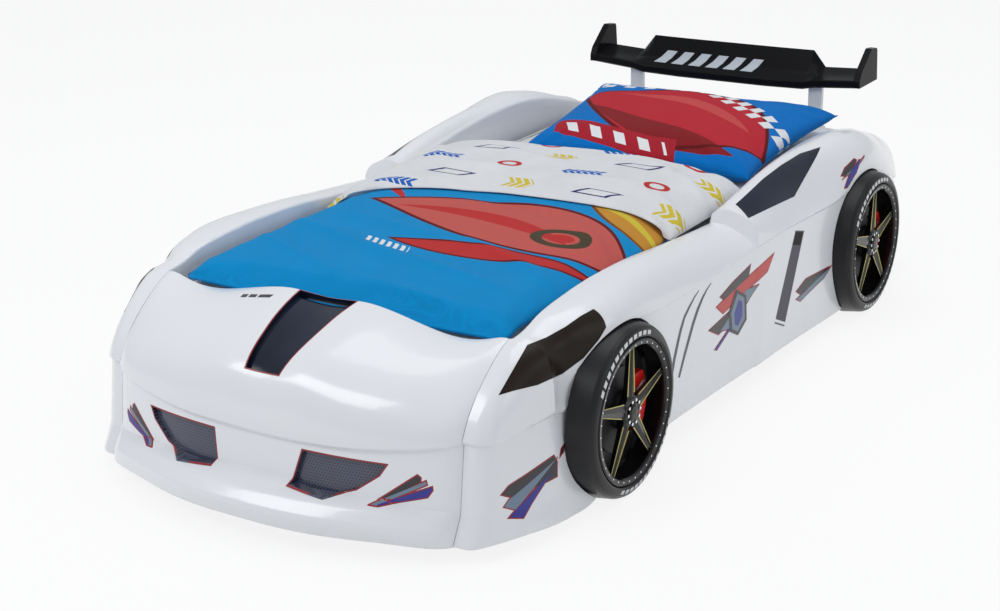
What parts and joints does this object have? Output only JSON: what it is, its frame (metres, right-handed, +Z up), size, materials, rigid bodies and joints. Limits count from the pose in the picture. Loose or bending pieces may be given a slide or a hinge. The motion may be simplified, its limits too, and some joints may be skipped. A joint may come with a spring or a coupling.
{
  "type": "children's car bed",
  "caption": "Child's bed shaped like a white racing car, with moulded panels, fixed wheels, a rear wing, a slatted timber base, mattress, duvet and pillow.",
  "frame": {"origin": "on the floor under the middle of the whole car, halfway between the nose's lip and the wing's end plates", "axes": "+Z up, +Y from the nose to the tail, so the nose points along -Y; +X is the car's own left side"},
  "size_m": [1.318, 2.4832, 0.622],
  "materials": {
    "body_white": "gloss white moulded plastic",
    "tyre_black": "satin black moulded plastic",
    "rim_black": "gloss black with pale gold edges",
    "disc_grey": "dark grey",
    "caliper_red": "gloss red",
    "silver_trim": "silver plated plastic",
    "steel_fittings": "zinc plated steel",
    "mesh_navy": "dark navy mesh print",
    "insert_navy": "gloss dark navy",
    "smoked_lamp": "smoked brown-black gloss",
    "vent_dark": "dark grey gloss",
    "tail_red": "red lens",
    "wing_black": "gloss black",
    "pine": "sanded pine",
    "foot_rubber": "black rubber",
    "mattress_cloth": "white knitted cover over foam",
    "duvet_cloth": "bright blue printed cotton with a white turned-down end",
    "pillow_cloth": "bright blue printed cotton with a chequered border"
  },
  "bodies": {
    "bed": {"side_panel_left": "body_white", "side_panel_right": "body_white", "front_panel": "body_white", "rear_panel": "body_white", "spoiler_strut_left": "body_white", "spoiler_strut_right": "body_white", "tyre_front_left": "tyre_black", "rim_front_left": "rim_black", "brake_disc_front_left": "disc_grey", "caliper_front_left": "caliper_red", "hub_cap_front_left": "silver_trim", "tyre_front_right": "tyre_black", "rim_front_right": "rim_black", "brake_disc_front_right": "disc_grey", "caliper_front_right": "caliper_red", "hub_cap_front_right": "silver_trim", "tyre_rear_left": "tyre_black", "rim_rear_left": "rim_black", "brake_disc_rear_left": "disc_grey", "caliper_rear_left": "caliper_red", "hub_cap_rear_left": "silver_trim", "tyre_rear_right": "tyre_black", "rim_rear_right": "rim_black", "brake_disc_rear_right": "disc_grey", "caliper_rear_right": "caliper_red", "hub_cap_rear_right": "silver_trim", "wheel_nuts": "silver_trim", "seam_bolts": "steel_fittings", "rail_bolts": "steel_fittings", "corner_brackets": "steel_fittings", "intake_grille_left": "mesh_navy", "intake_grille_right": "mesh_navy", "hood_insert": "insert_navy", "side_window_left": "insert_navy", "side_window_right": "insert_navy", "headlamp_cover_left": "smoked_lamp", "headlamp_cover_right": "smoked_lamp", "side_vent_left": "vent_dark", "side_vent_right": "vent_dark", "tail_diffuser": "vent_dark", "tail_lamp_left": "tail_red", "tail_lamp_right": "tail_red", "spoiler_wing": "wing_black", "side_rail_left": "pine", "side_rail_right": "pine", "foot_end_rail": "pine", "head_end_rail": "pine", "slat_ledge_left": "pine", "slat_ledge_right": "pine", "centre_beam": "pine", "slats": "pine", "legs": "pine", "foot_pads": "foot_rubber"},
    "mattress_body": {"mattress": "mattress_cloth"},
    "duvet_body": {"duvet": "duvet_cloth"},
    "pillow_body": {"pillow": "pillow_cloth"}
  },
  "joints": [
    {"name": "mattress_lift", "type": "slide", "parent": "bed", "child": "mattress_body", "axis": [0, 0, 1], "range_m": [0, 0.3]},
    {"name": "duvet_lift", "type": "slide", "parent": "mattress_body", "child": "duvet_body", "axis": [0, 0, 1], "range_m": [0, 0.25]},
    {"name": "pillow_lift", "type": "slide", "parent": "mattress_body", "child": "pillow_body", "axis": [0, 0, 1], "range_m": [0, 0.25]}
  ]
}
